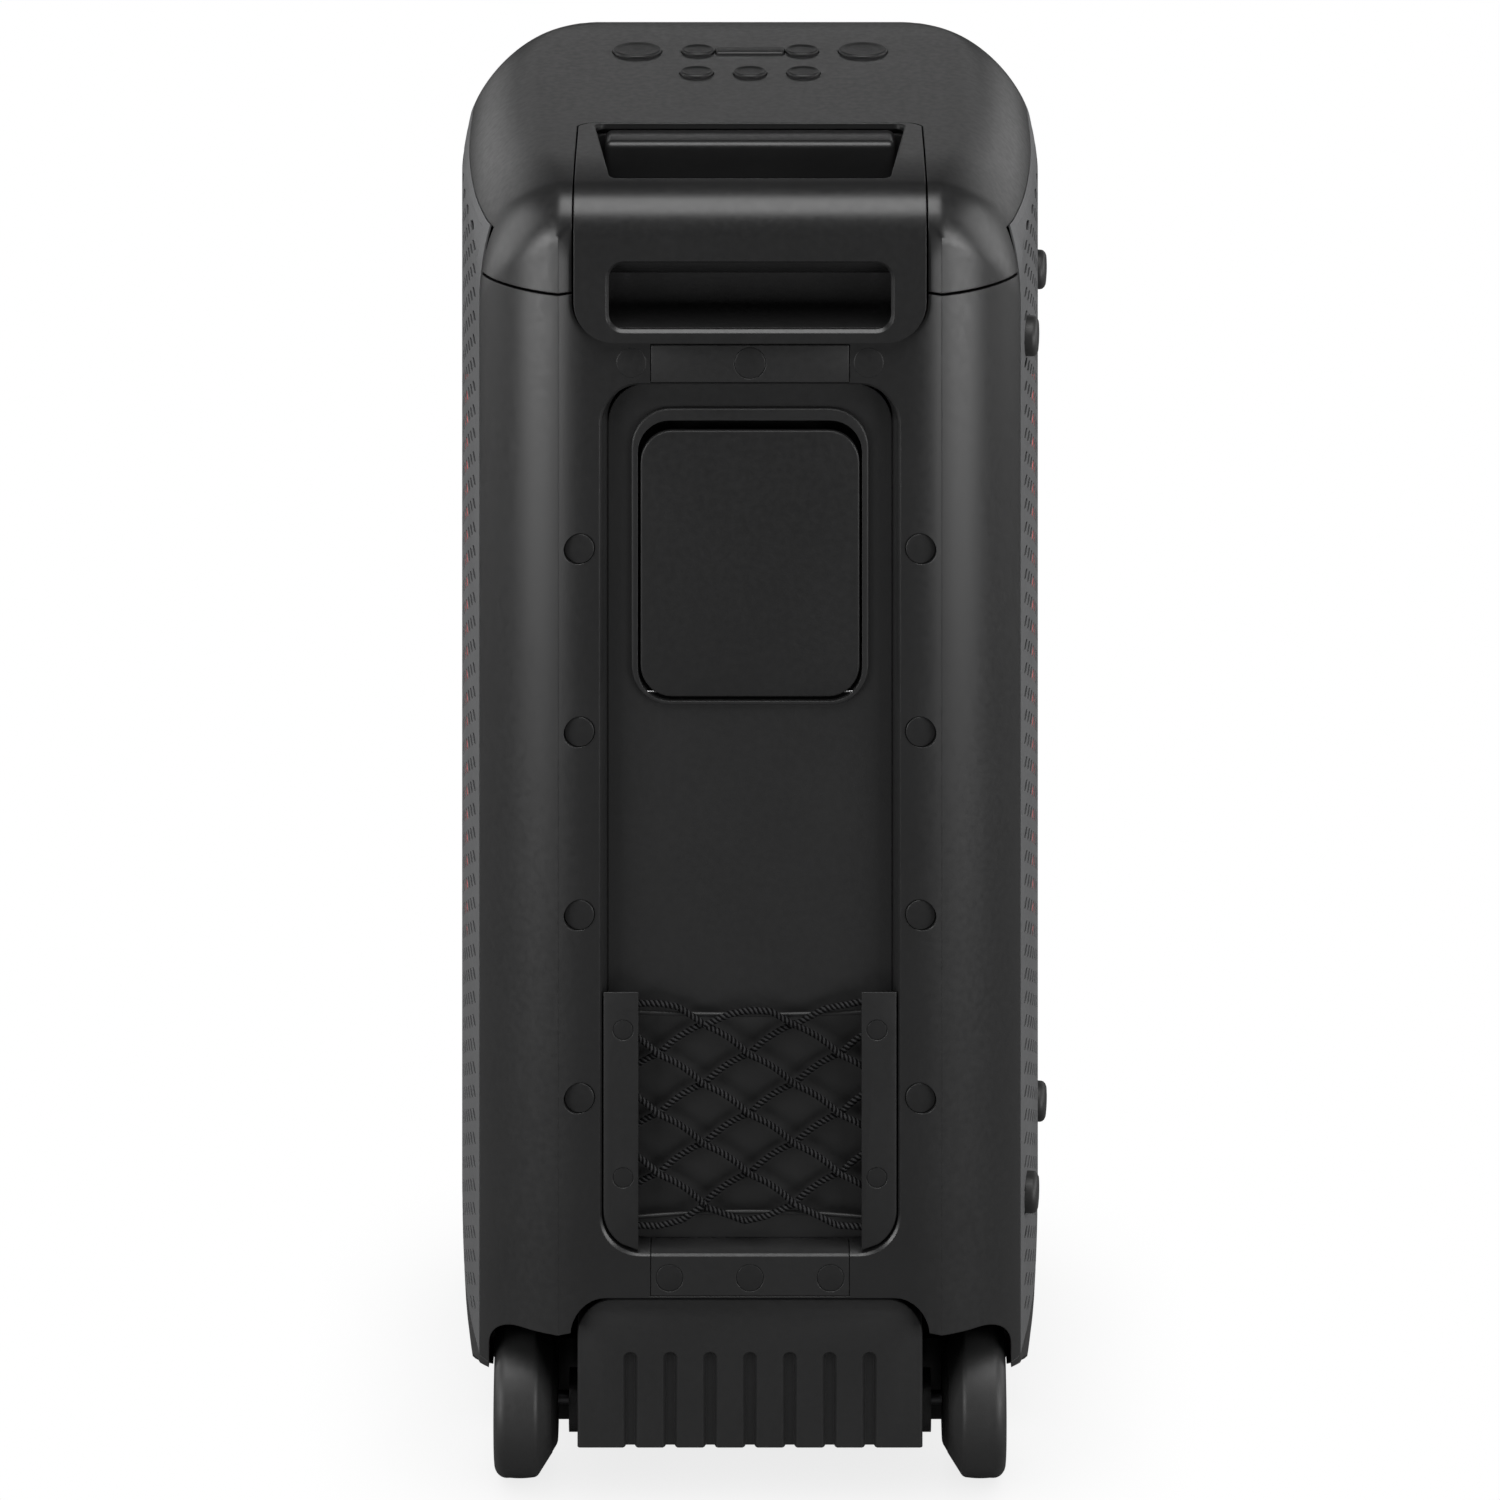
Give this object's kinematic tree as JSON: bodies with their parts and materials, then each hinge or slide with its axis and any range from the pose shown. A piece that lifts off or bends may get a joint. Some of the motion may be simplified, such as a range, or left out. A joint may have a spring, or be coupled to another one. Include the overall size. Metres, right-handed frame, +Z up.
{
  "type": "party speaker",
  "caption": "Tall portable party speaker with a wrap-around grille, telescopic handle, rear socket door, cord net and tilt-and-roll wheels.",
  "frame": {"origin": "floor level under the cabinet, midway between the two wheels and midway between the rearmost and the frontmost plane; the side feet on -X put the whole box's own centre 2.8 mm from it", "axes": "+Z up from the floor; +Y towards the rear, where the handle, socket door and wheels are, so the grille faces -Y; +X towards the speaker's left-hand wheel, the one on the left when its rear is looked at"},
  "size_m": [0.3658, 0.37, 0.791],
  "materials": {
    "cabinet_plastic": "satin black moulded shell",
    "grille_metal": "satin dark grey powder coat, perforated",
    "baffle_plastic": "matt black",
    "panel_plastic": "fine-textured matt black",
    "trim_plastic": "satin black",
    "steel": "plain ground pin",
    "axle_steel": "zinc-plated bar",
    "net_cord": "braided black cord",
    "handle_plastic": "satin black",
    "handle_tube": "dark anodised tube",
    "tyre_rubber": "smooth dark rubber",
    "hub_plastic": "matt black",
    "block_plastic": "matt black, grooved",
    "button_rubber": "soft matt black caps",
    "board_green": "green circuit board",
    "amplifier_green": "green circuit board with finned heat sink",
    "driver_frame": "black-painted pressed frame",
    "cone_paper": "matt black pulp cone",
    "surround_rubber": "matt rubber roll",
    "light_diffuser": "translucent, lit red",
    "battery_wrap": "dark blue shrink wrap"
  },
  "bodies": {
    "cabinet": {"rear_housing": "cabinet_plastic", "bottom_base": "cabinet_plastic", "top_cover": "cabinet_plastic", "front_grille": "grille_metal", "front_baffle": "baffle_plastic", "rear_panel": "panel_plastic", "door_frame": "panel_plastic", "door_pin": "steel", "jack_plate": "trim_plastic", "net_rail_left": "panel_plastic", "net_rail_right": "panel_plastic", "cord_net": "net_cord", "upper_bracket": "panel_plastic", "lower_bracket": "panel_plastic", "handle_surround": "handle_plastic", "handle_well": "handle_plastic", "base_block": "block_plastic", "axle": "axle_steel", "front_foot_left": "tyre_rubber", "front_foot_right": "tyre_rubber", "control_board": "board_green", "woofer_basket": "driver_frame", "woofer_surround": "surround_rubber", "tweeter_left": "driver_frame", "tweeter_right": "driver_frame", "led_ring": "light_diffuser", "led_panel": "light_diffuser", "battery_pack": "battery_wrap", "amplifier_board": "amplifier_green", "screw_plug_left_1": "trim_plastic", "screw_plug_left_2": "trim_plastic", "screw_plug_left_3": "trim_plastic", "screw_plug_left_4": "trim_plastic", "screw_plug_right_1": "trim_plastic", "screw_plug_right_2": "trim_plastic", "screw_plug_right_3": "trim_plastic", "screw_plug_right_4": "trim_plastic", "side_foot_upper_rear": "tyre_rubber", "side_foot_upper_front": "tyre_rubber", "side_foot_lower_rear": "tyre_rubber", "side_foot_lower_front": "tyre_rubber"},
    "handle": {"handle_grip": "handle_plastic", "handle_post_left": "handle_tube", "handle_post_right": "handle_tube"},
    "left_wheel": {"wheel_hub_left": "hub_plastic", "tyre_left": "tyre_rubber"},
    "right_wheel": {"wheel_hub_right": "hub_plastic", "tyre_right": "tyre_rubber"},
    "socket_door": {"jack_door": "trim_plastic"},
    "microphone_dial": {"microphone_knob": "trim_plastic"},
    "guitar_dial": {"guitar_knob": "trim_plastic"},
    "woofer_diaphragm": {"woofer_cone": "cone_paper"},
    "power_key": {"power_button": "button_rubber"},
    "light_key": {"light_button": "button_rubber"},
    "volume_down_key": {"volume_down_button": "button_rubber"},
    "volume_up_key": {"volume_up_button": "button_rubber"},
    "play_key": {"play_button": "button_rubber"},
    "pairing_key": {"pairing_button": "button_rubber"},
    "effect_key": {"effect_button": "button_rubber"},
    "party_key": {"party_button": "button_rubber"}
  },
  "joints": [
    {"name": "handle_slide", "type": "slide", "parent": "cabinet", "child": "handle", "axis": [0, 0, 1], "range_m": [0, 0.33]},
    {"name": "left_wheel_spin", "type": "hinge", "parent": "cabinet", "child": "left_wheel", "pos_m": [0.1123, 0.13, 0.044], "axis": [1, 0, 0], "continuous": true},
    {"name": "right_wheel_spin", "type": "hinge", "parent": "cabinet", "child": "right_wheel", "pos_m": [-0.1123, 0.13, 0.044], "axis": [1, 0, 0], "continuous": true},
    {"name": "door_hinge", "type": "hinge", "parent": "cabinet", "child": "socket_door", "pos_m": [0, 0.166, 0.483], "axis": [-1, 0, 0], "range_deg": [0, 90]},
    {"name": "microphone_dial_turn", "type": "hinge", "parent": "cabinet", "child": "microphone_dial", "pos_m": [0.034, 0.141, 0.612], "axis": [0, 1, 0], "range_deg": [-150, 150]},
    {"name": "guitar_dial_turn", "type": "hinge", "parent": "cabinet", "child": "guitar_dial", "pos_m": [-0.034, 0.141, 0.612], "axis": [0, 1, 0], "range_deg": [-150, 150]},
    {"name": "power_press", "type": "slide", "parent": "cabinet", "child": "power_key", "axis": [0, 0, -1], "range_m": [0, 0.0012]},
    {"name": "light_press", "type": "slide", "parent": "cabinet", "child": "light_key", "axis": [0, 0, -1], "range_m": [0, 0.0012]},
    {"name": "volume_down_press", "type": "slide", "parent": "cabinet", "child": "volume_down_key", "axis": [0, 0, -1], "range_m": [0, 0.0012]},
    {"name": "volume_up_press", "type": "slide", "parent": "cabinet", "child": "volume_up_key", "axis": [0, 0, -1], "range_m": [0, 0.0012]},
    {"name": "play_press", "type": "slide", "parent": "cabinet", "child": "play_key", "axis": [0, 0, -1], "range_m": [0, 0.0012]},
    {"name": "pairing_press", "type": "slide", "parent": "cabinet", "child": "pairing_key", "axis": [0, 0, -1], "range_m": [0, 0.0012]},
    {"name": "effect_press", "type": "slide", "parent": "cabinet", "child": "effect_key", "axis": [0, 0, -1], "range_m": [0, 0.0012]},
    {"name": "party_press", "type": "slide", "parent": "cabinet", "child": "party_key", "axis": [0, 0, -1], "range_m": [0, 0.0012]},
    {"name": "woofer_travel", "type": "slide", "parent": "cabinet", "child": "woofer_diaphragm", "axis": [0, -1, 0], "range_m": [-0.004, 0.004]}
  ]
}
